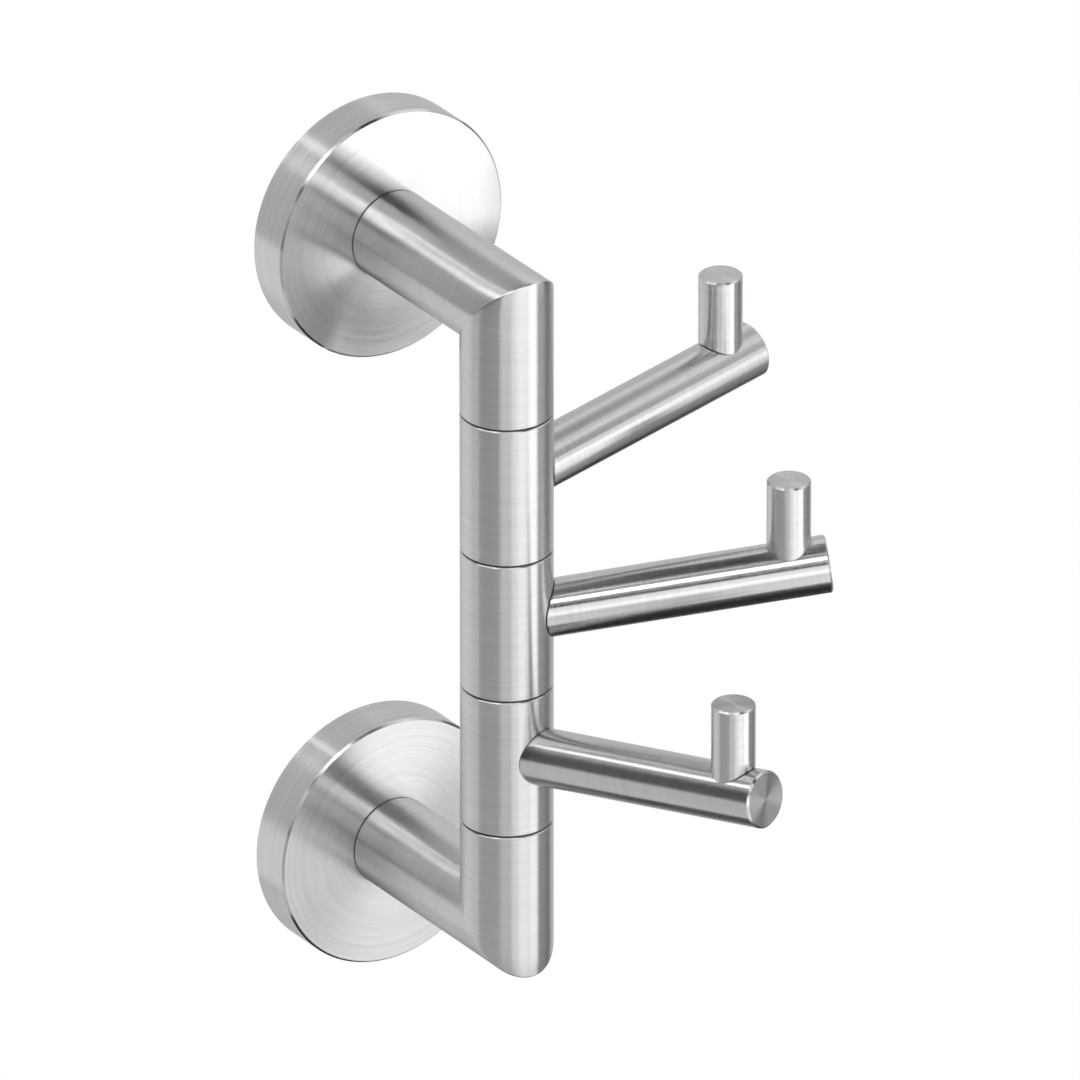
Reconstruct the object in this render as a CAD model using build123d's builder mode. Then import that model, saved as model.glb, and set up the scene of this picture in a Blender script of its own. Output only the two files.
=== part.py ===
"""Triple swivel hook: two rosettes on the wall, two mitred posts and three hooks on a column.

The wall is the plane Y = 0 and the hook stands out along -Y, with +Z up and +X to the right as one
faces the wall. The origin lies on the wall, midway between the two rosettes. Sizes are millimetres.
"""

from build123d import *
from math import cos, radians, sin
import os

os.makedirs("parts", exist_ok=True)

# Tube of the posts and the column
tube_radius = 10.0
tube_wall = 1.5
reach = 54.0  # wall to the column's axis
rosette_spacing = 144.5  # centre to centre

# Rosette, a turned cup
rosette_radius = 28.3
rosette_depth = 10.2
rosette_wall = 2.0
rosette_face = 2.4
rosette_edge = 0.45  # chamfer round the face
rosette_inner_fillet = 0.8

# Wall plate inside the rosette, a dished disc with two screw holes
plate_thickness = 2.4
plate_rim_wall = 2.0
plate_rim_gap = 0.9  # to the inside of the rosette's face
plate_clearance = 0.25  # to the rosette's wall
wall_hole_radius = 2.5
wall_hole_spacing = 34.0

# Screw, washer and threaded plug that pull the rosette and the post together
rosette_screw_radius = 3.0
rosette_screw_head_radius = 5.0
rosette_screw_head_height = 3.2
rosette_screw_length = 14.0  # below the head
rosette_screw_socket = 4.0  # across the flats
rosette_screw_socket_depth = 1.8
rosette_washer_radius = 6.2
rosette_washer_thickness = 1.2
post_plug_length = 12.0

# Grub screw at the underside of the rosette
grub_radius = 2.0
grub_recess = 0.3  # below the rosette's rim
grub_socket = 2.0  # across the flats
grub_socket_depth = 1.6
grub_cone = 0.8  # height of the cup point's bevel

# Column of sleeves, with the axle through them
sleeve_pitch = 32.1
seam_gap = 0.4
seam_edge = 0.2  # chamfer at both sides of each seam
axle_radius = 4.0
axle_relief = 0.6  # between the axle and the sleeve's plain bore
axle_end_chamfer = 0.8
column_plug_length = 13.0
bush_radius = 6.5
bush_length = 8.0
bush_inset = 0.1  # below the sleeve's end
washer_thickness = 0.3
washer_inset = 0.5  # rim of the washer, in from the column's surface

# Arm and pin
arm_radius = 6.25
arm_length = 69.4  # along the arm, from the column's axis to its end
arm_rise = 7.4  # degrees that the arm climbs towards its end
arm_edge = 0.4
arm_stud_radius = 3.0
arm_stud_grip = 10.0  # length inside the arm
arm_stud_recess = 0.4  # back from the sleeve's bore
pin_radius = 4.75
pin_setback = 8.7  # along the arm, from its end back to the pin's axis
pin_height = 21.3  # arm's axis to the pin's top
pin_edge = 0.35
pin_stud_radius = 2.5
pin_stud_grip = 7.0  # length inside the pin
pin_stud_depth = 4.0  # below the arm's top

# Fits
running_clearance = 0.05  # radial, bush on axle
seat_clearance = 0.03  # radial, plugs, studs and bushes in their seats
cope_clearance = 0.06  # between a coped end and the round it sits on
hole_clearance = 0.3  # radial, screws through plain holes

# Angle of each arm from +X towards the room
top_angle = -7.0
middle_angle = 28.5
bottom_angle = 71.0

hook_angles = {"top": top_angle, "middle": middle_angle, "bottom": bottom_angle}
tube_bore = tube_radius - tube_wall
plate_radius = rosette_radius - rosette_wall - plate_clearance
plate_rim_height = rosette_depth - rosette_face - plate_rim_gap
grub_inset = (plate_thickness + plate_rim_height) / 2
grub_point = plate_radius - grub_cone + seat_clearance
stack_half = len(hook_angles) * sleeve_pitch / 2
pin_reach = arm_length - pin_setback
post_start = -rosette_depth


def save(piece, name):
    """Label a finished piece and write it under its own name."""
    piece.part.label = name
    export_step(piece.part, f"parts/{name}.step")


def make_end(side, up):
    """Make the wall fixing, rosette and bracket at one end of the column; up is 1 or -1."""
    post_height = up * rosette_spacing / 2
    face_plane = Plane(origin=(0, 0, post_height), x_dir=(1, 0, 0), z_dir=(0, -1, 0))

    # Wall plate
    with BuildPart() as wall_plate:
        with BuildSketch(face_plane):
            Circle(plate_radius)
        extrude(amount=plate_rim_height)
        with BuildSketch(face_plane.offset(plate_thickness)):
            Circle(plate_radius - plate_rim_wall)
        extrude(amount=plate_rim_height, mode=Mode.SUBTRACT)
        with BuildSketch(face_plane):
            with GridLocations(wall_hole_spacing, 0, 2, 1):
                Circle(wall_hole_radius)
        extrude(amount=plate_thickness, mode=Mode.SUBTRACT)
        # The grub screw's dimple in the rim, under the rosette's screw hole
        dimple_top = Plane(
            origin=(0, -grub_inset, post_height - plate_radius), x_dir=(1, 0, 0), z_dir=(0, 0, 1)
        )
        with BuildSketch(dimple_top):
            Circle(grub_radius + hole_clearance)
        extrude(amount=grub_cone, mode=Mode.SUBTRACT)
    save(wall_plate, f"{side}_wall_plate")

    # Rosette
    with BuildPart() as rosette:
        with BuildSketch(face_plane):
            Circle(rosette_radius)
        extrude(amount=rosette_depth)
        with BuildSketch(face_plane):
            Circle(rosette_radius - rosette_wall)
        extrude(amount=rosette_depth - rosette_face, mode=Mode.SUBTRACT)
        outer_rim = rosette.edges().filter_by(GeomType.CIRCLE).sort_by(Axis.Y)[0]
        chamfer(outer_rim, rosette_edge)
        inner_face = rosette.faces().filter_by(Axis.Y).sort_by(Axis.Y)[1]
        fillet(inner_face.edges(), rosette_inner_fillet)
        with BuildSketch(face_plane):
            Circle(rosette_screw_radius + hole_clearance)
        extrude(amount=rosette_depth, mode=Mode.SUBTRACT)
        underside = Plane(
            origin=(0, -grub_inset, post_height), x_dir=(1, 0, 0), z_dir=(0, 0, -1)
        )
        with BuildSketch(underside):
            Circle(grub_radius + seat_clearance)
        extrude(amount=rosette_radius, mode=Mode.SUBTRACT)
    save(rosette, f"{side}_rosette")

    # Grub screw, its point in the plate's dimple
    grub_length = rosette_radius - grub_recess - grub_point
    with BuildPart() as grub_screw:
        with BuildSketch(underside.offset(grub_point)):
            Circle(grub_radius)
        extrude(amount=grub_length)
        chamfer(grub_screw.edges().group_by(Axis.Z)[-1], grub_cone)
        with BuildSketch(underside.offset(grub_point + grub_length)):
            RegularPolygon(grub_socket / 2, 6, major_radius=False)
        extrude(amount=-grub_socket_depth, mode=Mode.SUBTRACT)
    save(grub_screw, f"{side}_grub_screw")

    # Bracket: the post and the column's leg, one tube mitred where they meet
    seam_level = up * (stack_half + seam_gap / 2)
    with BuildPart() as bracket:
        with BuildLine():
            corner = (0, -reach, post_height)
            Polyline((0, post_start, post_height), corner, (0, -reach, seam_level))
        with BuildSketch(face_plane.offset(-post_start)):
            Circle(tube_radius)
            Circle(tube_bore, mode=Mode.SUBTRACT)
        sweep(transition=Transition.RIGHT)
        seam_face = bracket.faces().filter_by(Axis.Z).sort_by(Axis.Z)[0 if up > 0 else -1]
        chamfer(seam_face.outer_wire().edges(), seam_edge)
    save(bracket, f"{side}_bracket")

    # Threaded plug in the post's wall end
    with BuildPart() as post_plug:
        with BuildSketch(face_plane.offset(-post_start)):
            Circle(tube_bore - seat_clearance)
            Circle(rosette_screw_radius + seat_clearance, mode=Mode.SUBTRACT)
        extrude(amount=post_plug_length)
    save(post_plug, f"{side}_post_plug")

    # Washer and screw, from inside the rosette into the plug
    washer_seat = rosette_depth - rosette_face
    with BuildPart() as rosette_washer:
        with BuildSketch(face_plane.offset(washer_seat)):
            Circle(rosette_washer_radius)
            Circle(rosette_screw_radius + hole_clearance, mode=Mode.SUBTRACT)
        extrude(amount=-rosette_washer_thickness)
    save(rosette_washer, f"{side}_rosette_washer")

    head_seat = face_plane.offset(washer_seat - rosette_washer_thickness)
    with BuildPart() as rosette_screw:
        with BuildSketch(head_seat):
            Circle(rosette_screw_radius)
        extrude(amount=rosette_screw_length)
        with BuildSketch(head_seat):
            Circle(rosette_screw_head_radius)
        extrude(amount=-rosette_screw_head_height)
        with BuildSketch(head_seat.offset(-rosette_screw_head_height)):
            RegularPolygon(rosette_screw_socket / 2, 6, major_radius=False)
        extrude(amount=rosette_screw_socket_depth, mode=Mode.SUBTRACT)
    save(rosette_screw, f"{side}_rosette_screw")

    # Plug in the column's leg, which carries the axle
    leg_plane = Plane(origin=(0, -reach, seam_level), x_dir=(1, 0, 0), z_dir=(0, 0, up))
    with BuildPart() as column_plug:
        with BuildSketch(leg_plane):
            Circle(tube_bore - seat_clearance)
            Circle(axle_radius + seat_clearance, mode=Mode.SUBTRACT)
        extrude(amount=column_plug_length)
    save(column_plug, f"{side}_column_plug")


def make_axle():
    """Make the rod that the sleeves turn on, from plug to plug."""
    half_length = stack_half + seam_gap / 2 + column_plug_length
    with BuildPart() as swivel_axle:
        with BuildSketch(Plane(origin=(0, -reach, -half_length), z_dir=(0, 0, 1))):
            Circle(axle_radius)
        extrude(amount=2 * half_length)
        chamfer(swivel_axle.edges().filter_by(GeomType.CIRCLE), axle_end_chamfer)
    save(swivel_axle, "swivel_axle")


def make_washers():
    """Make the thin washers between the sleeves, one centred in each seam."""
    for seam in range(len(hook_angles) + 1):
        level = stack_half - seam * sleeve_pitch - washer_thickness / 2
        with BuildPart() as friction_washer:
            with BuildSketch(Plane(origin=(0, -reach, level), z_dir=(0, 0, 1))):
                Circle(tube_radius - washer_inset)
                Circle(axle_radius + hole_clearance, mode=Mode.SUBTRACT)
            extrude(amount=washer_thickness)
        save(friction_washer, f"friction_washer_{seam + 1}")


def make_hook(name, number, angle):
    """Make one sleeve with its bushes, arm and pin; the arm stands angle degrees from +X."""
    middle = stack_half - (number + 0.5) * sleeve_pitch
    centre = Vector(0, -reach, middle)
    heading = Vector(cos(radians(angle)), -sin(radians(angle)), 0)
    along = heading * cos(radians(arm_rise)) + Vector(0, 0, sin(radians(arm_rise)))
    sleeve_length = sleeve_pitch - seam_gap
    sleeve_base = Plane(origin=centre - Vector(0, 0, sleeve_length / 2), x_dir=heading, z_dir=(0, 0, 1))
    arm_plane = Plane(origin=centre, x_dir=Vector(0, 0, 1).cross(heading), z_dir=along)

    # Sleeve, bored for the axle, with a seat at each end for a bush
    sleeve_bore = axle_radius + axle_relief
    arm_stud_end = tube_radius + arm_stud_grip
    with BuildPart() as sleeve:
        with BuildSketch(sleeve_base):
            Circle(tube_radius)
        extrude(amount=sleeve_length)
        chamfer(sleeve.edges().filter_by(GeomType.CIRCLE), seam_edge)
        with BuildSketch(sleeve_base):
            Circle(sleeve_bore)
        extrude(amount=sleeve_length, mode=Mode.SUBTRACT)
        with BuildSketch(sleeve_base, sleeve_base.offset(sleeve_length - bush_length - bush_inset)):
            Circle(bush_radius)
        extrude(amount=bush_length + bush_inset, mode=Mode.SUBTRACT)
        with BuildSketch(arm_plane):
            Circle(arm_stud_radius + seat_clearance)
        extrude(amount=arm_stud_end, mode=Mode.SUBTRACT)
    save(sleeve, f"{name}_sleeve")

    # Bushes, a hair below the sleeve's ends
    bush_levels = {
        "upper": sleeve_length - bush_length - bush_inset,
        "lower": bush_inset,
    }
    for end, level in bush_levels.items():
        with BuildPart() as bush:
            with BuildSketch(sleeve_base.offset(level)):
                Circle(bush_radius - seat_clearance)
                Circle(axle_radius + running_clearance, mode=Mode.SUBTRACT)
            extrude(amount=bush_length)
        save(bush, f"{name}_{end}_bush")

    # Arm, coped to the sleeve, threaded for its own stud and for the pin's
    pin_foot = centre + along * pin_reach
    pin_plane = Plane(origin=pin_foot, x_dir=heading, z_dir=(0, 0, 1))
    with BuildPart() as arm:
        with BuildSketch(arm_plane):
            Circle(arm_radius)
        extrude(amount=arm_length)
        chamfer(arm.faces().sort_by(Axis(centre, along))[-1].edges(), arm_edge)
        with BuildSketch(sleeve_base):
            Circle(tube_radius + cope_clearance)
        extrude(amount=sleeve_length, mode=Mode.SUBTRACT)
        with BuildSketch(arm_plane):
            Circle(arm_stud_radius + seat_clearance)
        extrude(amount=arm_stud_end, mode=Mode.SUBTRACT)
        with BuildSketch(pin_plane.offset(arm_radius - pin_stud_depth)):
            Circle(pin_stud_radius + seat_clearance)
        extrude(amount=arm_radius, mode=Mode.SUBTRACT)
    save(arm, f"{name}_arm")

    arm_stud_start = sleeve_bore + arm_stud_recess
    with BuildPart() as arm_stud:
        with BuildSketch(arm_plane.offset(arm_stud_start)):
            Circle(arm_stud_radius)
        extrude(amount=arm_stud_end - arm_stud_start)
    save(arm_stud, f"{name}_arm_stud")

    # Pin, its foot coped over the arm
    pin_stud_top = arm_radius + pin_stud_grip
    with BuildPart() as pin:
        with BuildSketch(pin_plane):
            Circle(pin_radius)
        extrude(amount=pin_height)
        chamfer(pin.edges().group_by(Axis.Z)[-1], pin_edge)
        with BuildSketch(arm_plane):
            Circle(arm_radius + cope_clearance)
        extrude(amount=arm_length + pin_radius, mode=Mode.SUBTRACT)
        with BuildSketch(pin_plane):
            Circle(pin_stud_radius + seat_clearance)
        extrude(amount=pin_stud_top, mode=Mode.SUBTRACT)
    save(pin, f"{name}_pin")

    pin_stud_base = arm_radius - pin_stud_depth
    with BuildPart() as pin_stud:
        with BuildSketch(pin_plane.offset(pin_stud_base)):
            Circle(pin_stud_radius)
        extrude(amount=pin_stud_top - pin_stud_base)
    save(pin_stud, f"{name}_pin_stud")


make_end("upper", 1)
make_end("lower", -1)
make_axle()
make_washers()
for number, (name, angle) in enumerate(hook_angles.items()):
    make_hook(name, number, angle)
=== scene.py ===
"""Looks of the triple swivel hook: brushed steel in a plain pale studio, seen from its left front."""
import math

import bmesh
import bpy
import numpy as np
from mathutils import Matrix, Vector


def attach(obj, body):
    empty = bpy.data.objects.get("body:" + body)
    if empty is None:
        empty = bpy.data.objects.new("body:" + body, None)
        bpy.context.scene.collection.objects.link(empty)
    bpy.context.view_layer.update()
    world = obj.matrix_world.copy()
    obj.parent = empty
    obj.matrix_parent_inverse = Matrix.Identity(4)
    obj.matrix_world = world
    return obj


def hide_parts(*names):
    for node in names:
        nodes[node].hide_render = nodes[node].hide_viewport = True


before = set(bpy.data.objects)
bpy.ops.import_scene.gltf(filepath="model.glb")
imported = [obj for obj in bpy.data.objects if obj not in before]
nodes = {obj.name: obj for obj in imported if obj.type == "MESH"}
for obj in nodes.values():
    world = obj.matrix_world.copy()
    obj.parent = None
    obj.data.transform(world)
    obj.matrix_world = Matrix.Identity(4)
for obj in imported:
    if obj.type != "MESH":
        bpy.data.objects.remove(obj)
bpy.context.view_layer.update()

MM = 0.001

# Sizes of the pieces that are given a finer skin here, in metres, as the solids have them
TUBE_RADIUS = 10.0 * MM
TUBE_BORE = 8.5 * MM
REACH = 54.0 * MM
ROSETTE_SPACING = 144.5 * MM
ROSETTE_DEPTH = 10.2 * MM
SLEEVE_PITCH = 32.1 * MM
SEAM_GAP = 0.4 * MM
SEAM_EDGE = 0.2 * MM
MITRE_ROUND = 0.35 * MM
ARM_RADIUS = 6.25 * MM
ARM_LENGTH = 69.4 * MM
ARM_RISE = math.radians(7.4)
ARM_EDGE = 0.4 * MM
ARM_BORE = 3.03 * MM
ARM_BORE_END = 20.0 * MM
PIN_RADIUS = 4.75 * MM
PIN_SETBACK = 8.7 * MM
PIN_HEIGHT = 21.3 * MM
PIN_EDGE = 0.35 * MM
PIN_BORE = 2.53 * MM
PIN_BORE_END = 13.25 * MM
JOINT_GAP = 0.2 * MM
ROOT_GAP = 0.25 * MM
HEADINGS = {"top": -7.0, "middle": 28.5, "bottom": 71.0}
STACK_HALF = len(HEADINGS) * SLEEVE_PITCH / 2

# Points round a ring, and the steps of the bands that run along a piece
AROUND = 160
TUBE_STEPS = 8
BORE_STEPS = 2
MITRE_STEPS = 4
BAR_STEPS = 16
END_STEPS = 8

# Points nearer than this, in metres, are one, and an edge that bends more than the crease stays sharp
MERGE_DISTANCE = 1e-6
CREASE = math.radians(30)

WHITE = (1, 1, 1, 1)


class Value:
    """A node's socket that can be written in an expression."""

    def __init__(self, tree, socket):
        self.tree = tree
        self.socket = socket

    def math(self, operation, *others):
        return self.tree.node("ShaderNodeMath", {"operation": operation}, (self, *others))

    def __add__(self, other):
        return self.math("ADD", other)

    def __mul__(self, other):
        return self.math("MULTIPLY", other)

    def __sub__(self, other):
        return self.math("SUBTRACT", other)

    def __rsub__(self, other):
        return self.tree.node("ShaderNodeMath", {"operation": "SUBTRACT"}, (other, self))

    def __truediv__(self, other):
        return self.math("DIVIDE", other)

    __radd__ = __add__
    __rmul__ = __mul__


class Tree:
    """A tree of nodes, made from expressions."""

    def node(self, kind, settings=None, inputs=(), output=0):
        """Add a node, with its settings set before its sockets' values or links."""
        made = self.nodes.new(kind)
        for name, value in (settings or {}).items():
            setattr(made, name, value)
        pairs = inputs.items() if isinstance(inputs, dict) else enumerate(inputs)
        for key, value in pairs:
            for one in value if isinstance(value, list) else [value]:
                if isinstance(one, Value):
                    self.links.new(one.socket, made.inputs[key])
                else:
                    made.inputs[key].default_value = one
        return Value(self, made.outputs[output]) if made.outputs else made

    def split(self, vector):
        """Give the three numbers of a vector."""
        made = self.node("ShaderNodeSeparateXYZ", None, (vector,))
        return [Value(self, socket) for socket in made.socket.node.outputs]

    def join(self, x, y, z):
        return self.node("ShaderNodeCombineXYZ", None, (x, y, z))


class Finish(Tree):
    """A node material."""

    def __init__(self, name):
        self.material = bpy.data.materials.new(name)
        self.material.use_nodes = True
        self.nodes = self.material.node_tree.nodes
        self.links = self.material.node_tree.links
        self.nodes.clear()

    def surface(self, shader):
        self.node("ShaderNodeOutputMaterial", None, {"Surface": shader})
        return self.material


class Shape(Tree):
    """A Geometry Nodes tree with named sizes, which makes a closed skin from bands that run round it.

    Each band goes from one ring to another. A ring is a function of the turn's cosine and sine that
    gives a point and the way along the piece, all in metres. The skin's map holds the share of a
    turn and the way along, so brushed lines can run true round the piece up to a mitred or coped end.
    """

    def __init__(self, name, sizes, ways=()):
        self.group = bpy.data.node_groups.new(name, "GeometryNodeTree")
        self.nodes, self.links = self.group.nodes, self.group.links
        self.group.interface.new_socket("Geometry", in_out="OUTPUT", socket_type="NodeSocketGeometry")
        for size in sizes:
            self.group.interface.new_socket(size, in_out="INPUT", socket_type="NodeSocketFloat")
        for way in ways:
            self.group.interface.new_socket(way, in_out="INPUT", socket_type="NodeSocketVector")
        self.group.interface.new_socket("Material", in_out="INPUT", socket_type="NodeSocketMaterial")
        entry = self.nodes.new("NodeGroupInput")
        self.size = {socket.name: Value(self, socket) for socket in entry.outputs if socket.name}
        self.bands = []

    def band(self, near, far, steps=1):
        grid = self.node("GeometryNodeMeshGrid", None, {
            "Size X": 1.0, "Size Y": 1.0, "Vertices X": AROUND + 1, "Vertices Y": steps + 1,
        })
        # The grid lies from -0.5 to 0.5 both ways
        across, along, _ = self.split(self.node("GeometryNodeInputPosition"))
        share_round, share = across + 0.5, along + 0.5
        angle = share_round * (2 * math.pi)
        cosine, sine = angle.math("COSINE"), angle.math("SINE")
        start, stop = near(cosine, sine), far(cosine, sine)
        x, y, z, way = [a + (b - a) * share for a, b in zip(start, stop)]
        mapped = self.node(
            "GeometryNodeStoreNamedAttribute", {"data_type": "FLOAT2", "domain": "CORNER"},
            {"Geometry": grid, "Name": "grain", "Value": self.join(share_round, way, 0.0)},
        )
        self.bands.append(self.node("GeometryNodeSetPosition", None, {
            "Geometry": mapped, "Position": self.join(x, y, z),
        }))

    def close(self):
        """Join the bands at their rings and finish the skin."""
        joined = self.node("GeometryNodeJoinGeometry", None, {"Geometry": self.bands[::-1]})
        merged = self.node("GeometryNodeMergeByDistance", None, {
            "Geometry": joined, "Distance": MERGE_DISTANCE,
        })
        smooth = self.node("GeometryNodeSetShadeSmooth", {"domain": "FACE"}, {"Geometry": merged})
        bend = self.node("GeometryNodeInputMeshEdgeAngle")
        creased = self.node("GeometryNodeSetShadeSmooth", {"domain": "EDGE"}, {
            "Geometry": smooth, "Selection": bend.math("GREATER_THAN", CREASE), "Shade Smooth": False,
        })
        real = self.node("GeometryNodeRealizeInstances", None, {"Geometry": creased})
        dressed = self.node("GeometryNodeSetMaterial", None, {
            "Geometry": real, "Material": self.size["Material"],
        })
        self.node("NodeGroupOutput", None, {"Geometry": dressed})
        return self

    def make(self, name, **sizes):
        """Run the tree with these sizes and give its result as a plain mesh piece."""
        piece = bpy.data.objects.new(name, bpy.data.meshes.new(name))
        bpy.context.scene.collection.objects.link(piece)
        modifier = piece.modifiers.new("shape", "NODES")
        modifier.node_group = self.group
        for item in self.group.interface.items_tree:
            if item.in_out == "INPUT":
                modifier[item.identifier] = sizes[item.name.lower().replace(" ", "_")]
        graph = bpy.context.evaluated_depsgraph_get()
        mesh = bpy.data.meshes.new_from_object(piece.evaluated_get(graph), depsgraph=graph)
        piece.modifiers.clear()
        outward = bmesh.new()
        outward.from_mesh(mesh)
        bmesh.ops.recalc_face_normals(outward, faces=outward.faces)
        outward.to_mesh(mesh)
        outward.free()
        piece.data = mesh
        return piece


def mitred_tube():
    """Give the tree of the tube that runs out from the rosette, round a mitre and along the column."""
    shape = Shape("mitred_tube", (
        "Radius", "Bore", "Start", "Reach", "Height", "Up", "Seam", "Seam Edge", "Mitre Round",
    ))
    size = shape.size
    radius, bore, start, reach, height, up, seam, edge, rounding = (
        size[name] for name in
        ("Radius", "Bore", "Start", "Reach", "Height", "Up", "Seam", "Seam Edge", "Mitre Round")
    )

    def on_post(around, distance):
        return lambda cosine, sine: (
            around * cosine, 0.0 - distance, height + up * (around * sine), distance,
        )

    def on_leg(around, level):
        return lambda cosine, sine: (
            around * cosine, 0.0 - reach - around * sine, level, (level - height) * up,
        )

    def at_mitre(around, share, leg_side):
        # Round the sharp line of the mitre off by a small bend
        bend = share * math.pi / 2
        inset, drop = rounding * (1 - math.sin(bend)), rounding * (1 - math.cos(bend))

        def ring(cosine, sine):
            outward = around * sine
            y = inset - reach - outward
            rise = outward - drop
            return around * cosine, y, height + up * rise, rise if leg_side else 0.0 - y
        return ring

    shape.band(on_post(radius, start), at_mitre(radius, 0, False), TUBE_STEPS)
    for k in range(MITRE_STEPS):
        leg_side = k >= MITRE_STEPS / 2
        shape.band(
            at_mitre(radius, k / MITRE_STEPS, leg_side),
            at_mitre(radius, (k + 1) / MITRE_STEPS, leg_side),
        )
    chamfer_start = seam + up * edge
    shape.band(at_mitre(radius, 1, True), on_leg(radius, chamfer_start), TUBE_STEPS)
    shape.band(on_leg(radius, chamfer_start), on_leg(radius - edge, seam))
    shape.band(on_leg(radius - edge, seam), on_leg(bore, seam))

    def inner_mitre(leg_side):
        def ring(cosine, sine):
            outward = bore * sine
            way = outward if leg_side else reach + outward
            return bore * cosine, 0.0 - reach - outward, height + up * outward, way
        return ring

    shape.band(on_leg(bore, seam), inner_mitre(True), BORE_STEPS)
    shape.band(inner_mitre(False), on_post(bore, start), BORE_STEPS)
    shape.band(on_post(bore, start), on_post(radius, start))
    return shape.close()


def coped_bar():
    """Give the tree of a round bar that stands on the side of another round, with a bore in its foot.

    The foot point lies on the other round's axis. Cross runs along that axis, Ahead is square to it on
    the bar's side, and Aside is square to both. The bar leans by the slope from Ahead towards Cross.
    """
    names = ("Radius", "Edge", "Length", "Seat Round", "Bore", "Bore End", "Slope Cosine", "Slope Sine")
    shape = Shape("coped_bar", names, ("Foot", "Ahead", "Aside", "Cross"))
    radius, edge, length, seat, bore, bore_end, level, climb = (shape.size[name] for name in names)
    foot, ahead_way, aside_way, cross_way = (
        shape.split(shape.size[name]) for name in ("Foot", "Ahead", "Aside", "Cross")
    )

    def at(around, distance):
        """Give the ring of this radius at a distance along the bar."""
        def ring(cosine, sine):
            way = distance(around, cosine, sine) if callable(distance) else distance
            ahead = way * level - around * sine * climb
            aside = around * cosine
            cross = way * climb + around * sine * level
            return (*(
                start + ahead * a + aside * b + cross * c
                for start, a, b, c in zip(foot, ahead_way, aside_way, cross_way)
            ), way)
        return ring

    def cope(around, cosine, sine):
        # The way along the bar at which a line of its round meets the other round
        aside = around * cosine
        return ((seat * seat - aside * aside).math("SQRT") + around * sine * climb) / level

    def face(around):
        # A flat end's brushed lines run round its centre, so the way along goes on towards it
        def ring(cosine, sine):
            x, y, z, way = at(around, length)(cosine, sine)
            return x, y, z, way + radius - around
        return ring

    shape.band(face(radius * 0.0), face(radius - edge), END_STEPS)
    shape.band(face(radius - edge), at(radius, length - edge))
    shape.band(at(radius, length - edge), at(radius, cope), BAR_STEPS)
    shape.band(at(radius, cope), at(bore, cope))
    shape.band(at(bore, cope), at(bore, bore_end))
    shape.band(at(bore, bore_end), at(radius * 0.0, bore_end))
    return shape.close()


# The Texture Coordinate node's output for Object coordinates
OBJECT_PLACE = 3
LEAST_RADIUS = 0.01 * MM


def round_place(finish, centre, axis):
    """Give the direction from a round piece's axis and the way along it, from Object coordinates."""
    place = finish.node("ShaderNodeTexCoord", output=OBJECT_PLACE)
    offset = finish.node("ShaderNodeVectorMath", {"operation": "SUBTRACT"}, (place, centre))
    x, y, z = finish.split(offset)
    if axis == "Z":
        side, front, height = x, y, z
    else:
        side, front, height = x, z, y
    radius = (side * side + front * front).math("SQRT").math("MAXIMUM", LEAST_RADIUS)
    return side / radius, front / radius, height + radius


def skin_place(finish):
    """Give the same from a skin's own map."""
    place = finish.node("ShaderNodeUVMap", {"uv_map": "grain"})
    u, v, _ = finish.split(place)
    angle = u * (2 * math.pi)
    return angle.math("COSINE"), angle.math("SINE"), v


# Brushed steel has fine lines among broad ones, whose pitch and streak are multiples of the fine ones'
LINE_PITCH = 0.22 * MM
BROAD_PITCH, BROAD_STREAK = 5, 0.6
FINE_SHARE, BROAD_SHARE = 0.7, 0.3
FINE_DETAIL, BROAD_DETAIL, NOISE_ROUGHNESS = 3.0, 2.0, 0.6
MIDDLE = 0.5
ROUGH_SPREAD, SHADE_SPREAD, BUMP_STRENGTH = 0.08, 0.6, 0.12
LINE_DEPTH = 0.02 * MM
ANISOTROPY, QUARTER_TURN = 0.95, 0.25


def brushed(name, level, roughness, place, tangent, streak, grain):
    """Make steel with fine lines brushed round the piece."""
    finish = Finish(name)
    side, front, way = place(finish)

    def lines(width, length, detail):
        spot = finish.join(side * length, front * length, way * (1 / width))
        return finish.node(
            "ShaderNodeTexNoise", {"noise_dimensions": "3D"},
            {"Vector": spot, "Scale": 1.0, "Detail": detail, "Roughness": NOISE_ROUGHNESS},
        )

    fine = lines(LINE_PITCH, streak, FINE_DETAIL)
    broad = lines(LINE_PITCH * BROAD_PITCH, streak * BROAD_STREAK, BROAD_DETAIL)
    marks = fine * FINE_SHARE + broad * BROAD_SHARE - MIDDLE
    rough = marks * (ROUGH_SPREAD * grain) + roughness
    shade = marks * (SHADE_SPREAD * grain) + 1.0
    tone = finish.node("ShaderNodeCombineColor", None, (shade * level, shade * level, shade * level))
    bump = finish.node(
        "ShaderNodeBump", None,
        {"Strength": BUMP_STRENGTH * grain, "Distance": LINE_DEPTH, "Height": fine},
    )
    shader = finish.node("ShaderNodeBsdfPrincipled", None, {
        "Base Color": tone, "Metallic": 1.0, "Roughness": rough, "Normal": bump,
        "Anisotropic": ANISOTROPY, "Anisotropic Rotation": QUARTER_TURN, "Tangent": tangent(finish),
    })
    return finish.surface(shader)


def round_tangent(axis):
    """Give the way round a solid's axis, which its brushed lines follow."""
    return lambda finish: finish.node("ShaderNodeTangent", {"direction_type": "RADIAL", "axis": axis})


def skin_tangent(finish):
    """Give the way round a skin, from its own map."""
    return finish.node("ShaderNodeTangent", {"direction_type": "UV_MAP", "uv_map": "grain"})


# Plain finishes: small lumps shift their shade and roughness a little
LUMP = 0.3 * MM
LUMP_DETAIL = 3.0
LUMP_SHADE, LUMP_ROUGHNESS = 0.2, 0.15


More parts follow.
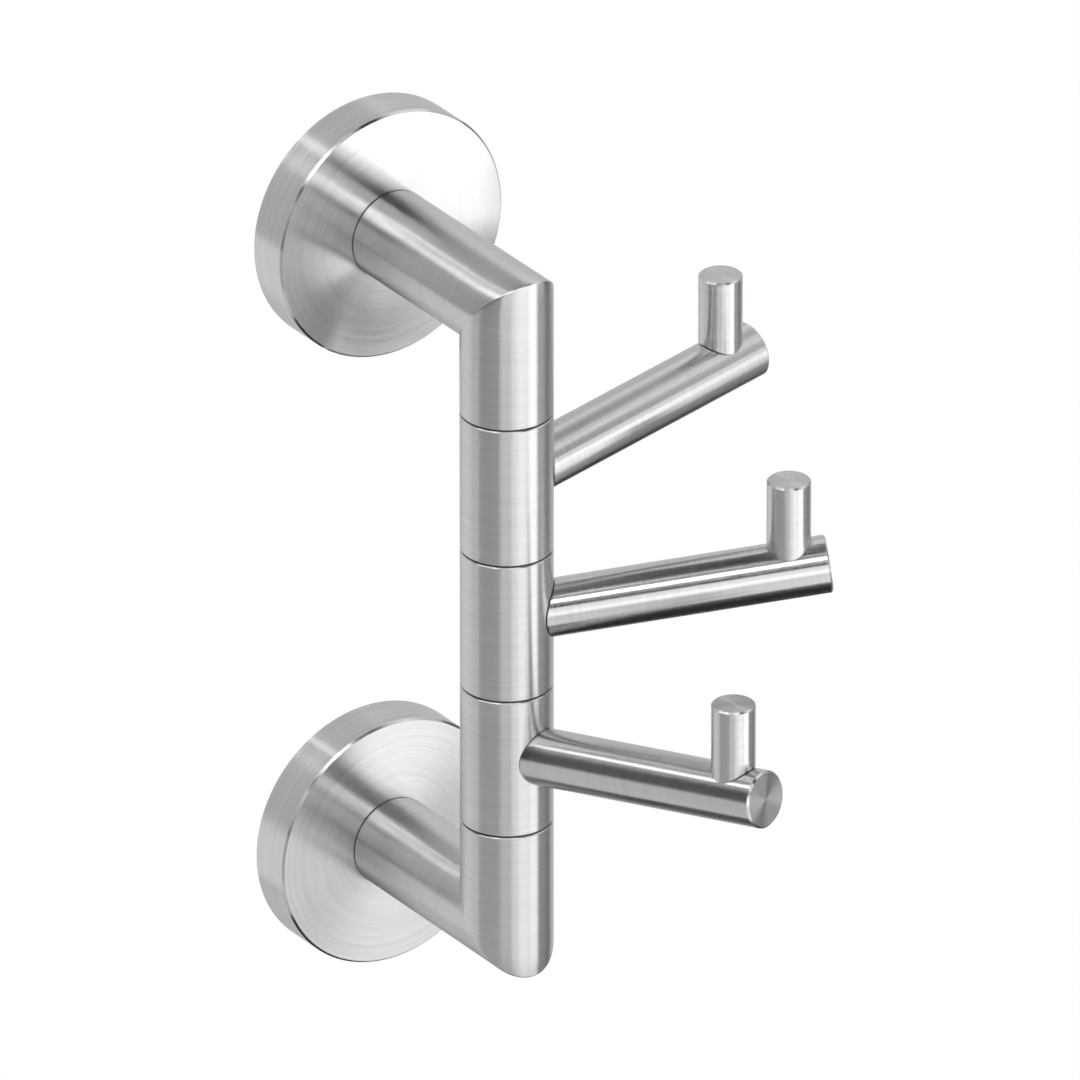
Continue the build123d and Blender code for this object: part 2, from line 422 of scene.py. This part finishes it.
def plain(name, level, roughness, metallic):
    """Make a dull plated or moulded finish with faint unevenness."""
    finish = Finish(name)
    place = finish.node("ShaderNodeTexCoord", output=OBJECT_PLACE)
    noise = finish.node(
        "ShaderNodeTexNoise", {"noise_dimensions": "3D"},
        {"Vector": place, "Scale": 1 / LUMP, "Detail": LUMP_DETAIL},
    )
    lumps = noise - MIDDLE
    shade = lumps * LUMP_SHADE + 1.0
    tone = finish.node("ShaderNodeCombineColor", None, (shade * level, shade * level, shade * level))
    shader = finish.node("ShaderNodeBsdfPrincipled", None, {
        "Base Color": tone, "Metallic": metallic, "Roughness": lumps * LUMP_ROUGHNESS + roughness,
    })
    return finish.surface(shader)


def dress(name, material):
    """Give a solid's own object a finish."""
    for slot in nodes[name].material_slots:
        slot.material = material


STEEL = 0.62
tube_steel = brushed(
    "tube_steel", STEEL, roughness=0.29, place=skin_place, tangent=skin_tangent, streak=0.6, grain=0.65,
)
bar_steel = brushed(
    "bar_steel", STEEL, roughness=0.25, place=skin_place, tangent=skin_tangent, streak=0.5, grain=0.5,
)
pin_steel = brushed(
    "pin_steel", STEEL, roughness=0.26, place=skin_place, tangent=skin_tangent, streak=0.5, grain=0.5,
)
plated = plain("dull_plating", level=0.45, roughness=0.4, metallic=1.0)
screw = plain("dark_plating", level=0.3, roughness=0.45, metallic=1.0)
nylon = plain("black_nylon", level=0.03, roughness=0.5, metallic=0.0)

tube = mitred_tube()
for side, up in (("upper", 1), ("lower", -1)):
    skin = tube.make(
        f"{side}_bracket_skin", radius=TUBE_RADIUS, bore=TUBE_BORE, start=ROSETTE_DEPTH + ROOT_GAP,
        reach=REACH, height=up * ROSETTE_SPACING / 2, up=float(up),
        seam=up * (STACK_HALF + SEAM_GAP / 2), seam_edge=SEAM_EDGE, mitre_round=MITRE_ROUND,
        material=tube_steel,
    )
    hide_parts(f"{side}_bracket")
    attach(skin, "frame")
    centre = (0, 0, up * ROSETTE_SPACING / 2)
    turned = brushed(
        f"{side}_rosette_steel", STEEL, roughness=0.22,
        place=lambda finish: round_place(finish, centre, "Y"), tangent=round_tangent("Y"),
        streak=0.8, grain=0.9,
    )
    dress(f"{side}_rosette", turned)
    for piece in ("wall_plate", "post_plug", "column_plug"):
        dress(f"{side}_{piece}", plated)
    for piece in ("grub_screw", "rosette_washer", "rosette_screw"):
        dress(f"{side}_{piece}", screw)

sleeve_steel = brushed(
    "sleeve_steel", STEEL, roughness=0.29,
    place=lambda finish: round_place(finish, (0, -REACH, 0), "Z"), tangent=round_tangent("Z"),
    streak=0.6, grain=0.65,
)
dress("swivel_axle", plated)
for number in range(len(HEADINGS) + 1):
    dress(f"friction_washer_{number + 1}", nylon)
bar = coped_bar()


def stand_bar(node, body, slot, **sizes):
    """Put a coped bar's skin in a solid's place."""
    skin = bar.make(f"{node}_skin", slope_cosine=math.cos(ARM_RISE), slope_sine=math.sin(ARM_RISE), **sizes)
    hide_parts(node)
    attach(skin, body)


for number, (name, degrees) in enumerate(HEADINGS.items()):
    angle = math.radians(degrees)
    middle = Vector((0, -REACH, STACK_HALF - (number + 0.5) * SLEEVE_PITCH))
    heading = Vector((math.cos(angle), -math.sin(angle), 0))
    across = Vector((math.sin(angle), math.cos(angle), 0))
    up = Vector((0, 0, 1))
    along = heading * math.cos(ARM_RISE) + up * math.sin(ARM_RISE)
    over = up * math.cos(ARM_RISE) - heading * math.sin(ARM_RISE)
    stand_bar(
        f"{name}_arm", f"{name}_hook", "brushed_bar", radius=ARM_RADIUS, edge=ARM_EDGE, length=ARM_LENGTH,
        seat_round=TUBE_RADIUS + JOINT_GAP, bore=ARM_BORE, bore_end=ARM_BORE_END,
        foot=middle, ahead=heading, aside=across, cross=up, material=bar_steel,
    )
    stand_bar(
        f"{name}_pin", f"{name}_hook", "brushed_pin", radius=PIN_RADIUS, edge=PIN_EDGE, length=PIN_HEIGHT,
        seat_round=ARM_RADIUS + JOINT_GAP, bore=PIN_BORE, bore_end=PIN_BORE_END,
        foot=middle + along * (ARM_LENGTH - PIN_SETBACK), ahead=over, aside=across, cross=along,
        material=pin_steel,
    )
    dress(f"{name}_sleeve", sleeve_steel)
    for piece in ("upper_bush", "lower_bush"):
        dress(f"{name}_{piece}", nylon)
    for piece in ("arm_stud", "pin_stud"):
        dress(f"{name}_{piece}", plated)


# Camera at the photograph's angle, far off with a long lens
VIEW_AZIMUTH = math.radians(-33.92)
VIEW_ELEVATION = math.radians(26.35)
FRAME_WIDTH = 0.2299
LENS, SENSOR = 1200.0, 36.0
FARTHEST = 100.0
AIM = Vector((16.35, -42.36, 8.36)) * MM


def direction(azimuth, elevation):
    """Give the way from the object to a place at these angles."""
    level = math.cos(elevation)
    return Vector((math.sin(azimuth) * level, -math.cos(azimuth) * level, math.sin(elevation)))


back = direction(VIEW_AZIMUTH, VIEW_ELEVATION)
camera_data = bpy.data.cameras.new("camera")
camera_data.lens = LENS
camera_data.sensor_width = SENSOR
camera_data.clip_end = FARTHEST
camera = bpy.data.objects.new("camera", camera_data)
camera.location = AIM + back * (FRAME_WIDTH * LENS / SENSOR)
camera.rotation_mode = "QUATERNION"
camera.rotation_quaternion = (-back).to_track_quat("-Z", "Y")
bpy.context.scene.collection.objects.link(camera)
bpy.context.scene.camera = camera

# Pale surroundings, at the level where a colour renders as it is written
world = bpy.data.worlds.new("studio")
world.use_nodes = True
world.node_tree.nodes["Background"].inputs["Color"].default_value = WHITE
world.node_tree.nodes["Background"].inputs["Strength"].default_value = 1.0
bpy.context.scene.world = world
bpy.context.scene.view_settings.view_transform = "Standard"

# The studio's panels stand round the column's middle, and its strips in front of them
PANEL_DISTANCE, STRIP_DISTANCE = 0.6, 0.54
PANEL_STEPS = 12


def panel(name, form, level, distance=PANEL_DISTANCE):
    """Stand a curved panel round the object, which only its gloss shows."""
    mesh = bpy.data.meshes.new(name)
    points, faces = [], []
    in_row = PANEL_STEPS + 1
    for row in range(in_row):
        for column in range(in_row):
            way = form(column / PANEL_STEPS, row / PANEL_STEPS)
            points.append(way * distance + Vector((0, -REACH, 0)))
    for row in range(PANEL_STEPS):
        for column in range(PANEL_STEPS):
            k = row * in_row + column
            faces.append((k, k + 1, k + in_row + 1, k + in_row))
    mesh.from_pydata(points, [], faces)
    finish = Finish(name)
    glow = finish.node("ShaderNodeEmission", None, {"Color": (level, level, level, 1), "Strength": 1.0})
    finish.surface(glow)
    finish.material.cycles.emission_sampling = "NONE"
    mesh.materials.append(finish.material)
    card = bpy.data.objects.new(name, mesh)
    card.visible_camera = False
    card.visible_diffuse = False
    card.visible_shadow = False
    bpy.context.scene.collection.objects.link(card)


def slope(*corners):
    """Give a panel's form between four corners, each in degrees round and up."""
    corners = np.radians(np.array(corners, float))

    def form(across, rise):
        low = corners[0] * (1 - across) + corners[1] * across
        high = corners[3] * (1 - across) + corners[2] * across
        return direction(*(low * (1 - rise) + high * rise))
    return form


def span(azimuths, elevations):
    """Give the form of a panel between two azimuths and two elevations."""
    (left, right), (low, high) = azimuths, elevations
    return slope((left, low), (right, low), (right, high), (left, high))


def arch(tilts, ways):
    """Give the form of a strip that runs over the object from its front to the wall.

    Tilts are degrees round from the right over the top, and ways are degrees from the front.
    """
    def form(across, rise):
        tilt = math.radians(tilts[0] * (1 - across) + tilts[1] * across)
        way = math.radians(ways[0] * (1 - rise) + ways[1] * rise)
        return Vector((math.cos(tilt) * math.sin(way), -math.cos(way), math.sin(tilt) * math.sin(way)))
    return form


# Levels of the studio: cards and boxes light the steel's bands, and flags keep its dark bands dark
BLACK, DIM, SHADE, GREY, SOFT = 0.03, 0.3, 0.5, 0.7, 0.9
PALE, LIT, BRIGHT, GLARE, FLASH = 1.1, 1.5, 2.2, 4.5, 7.0
for name, azimuths, elevations, level in (
    ("under_flag", (-180, 180), (-90, -60), BLACK),
    ("low_front_flag", (-45, 97), (-60, -48), BLACK),
    ("low_left_card", (-125, -45), (-60, -38), GREY),
    ("low_right_flag", (97, 140), (-60, -38), BLACK),
    ("low_back_card", (140, 235), (-60, -38), GREY),
    ("left_card", (-105, -45), (-38, -8), SHADE),
    ("front_card", (-45, -22), (-48, -8), GREY),
    ("key_edge", (-22, -5), (-48, -8), PALE),
    ("key_middle", (-5, 22), (-48, -8), LIT),
    ("key_box_foot", (22, 46), (-48, -31), SOFT),
    ("key_box", (22, 46), (-31, -8), BRIGHT),
    ("key_side", (46, 64), (-48, -8), DIM),
    ("right_low_flag", (64, 97), (-48, -8), DIM),
    ("back_low_card", (97, 190), (-38, -8), GREY),
    ("left_back_low_card", (-170, -105), (-38, -8), SOFT),
    ("left_flag", (-125, -50), (-8, 64), BLACK),
    ("front_left_box", (-50, -15), (-8, 22), LIT),
    ("front_right_box", (-15, 40), (-8, 7), BRIGHT),
    ("front_right_card", (-15, 40), (7, 22), PALE),
    ("front_flag", (-50, 40), (22, 64), BLACK),
    ("right_front_card", (40, 67), (-8, 64), PALE),
    ("right_flag", (67, 100), (-8, 16), BLACK),
    ("right_card", (67, 100), (16, 38), GREY),
    ("right_back_card", (100, 180), (-8, 38), GREY),
    ("right_upper_card", (67, 150), (38, 64), PALE),
    ("back_card", (-180, -125), (-8, 38), GREY),
    ("back_upper_card", (150, 235), (38, 64), GREY),
    ("overhead_flag", (-180, 180), (64, 90), BLACK),
):
    panel(name, span(azimuths, elevations), level)
for name, form, level in (
    ("left_strip", slope((-125, 42), (-60, 56), (-60, 67), (-125, 53)), GLARE),
    ("front_strip", slope((-74, 38), (10, 46), (10, 57), (-74, 49)), GLARE),
    ("overhead_front_strip", arch((105, 110), (30, 58)), FLASH),
    ("overhead_back_strip", arch((106, 112), (112, 150)), LIT),
):
    panel(name, form, level, STRIP_DISTANCE)

# A white floor well below the object
FLOOR, FLOOR_HALF = -0.8, 6.0
floor_mesh = bpy.data.meshes.new("floor")
floor_corners = [(x * FLOOR_HALF, y * FLOOR_HALF, FLOOR) for x, y in ((-1, -1), (1, -1), (1, 1), (-1, 1))]
floor_mesh.from_pydata(floor_corners, [], [(0, 1, 2, 3)])
paper = Finish("floor_paper")
floor_mesh.materials.append(paper.surface(paper.node("ShaderNodeBsdfDiffuse", None, {"Color": WHITE})))
floor = bpy.data.objects.new("floor", floor_mesh)
bpy.context.scene.collection.objects.link(floor)
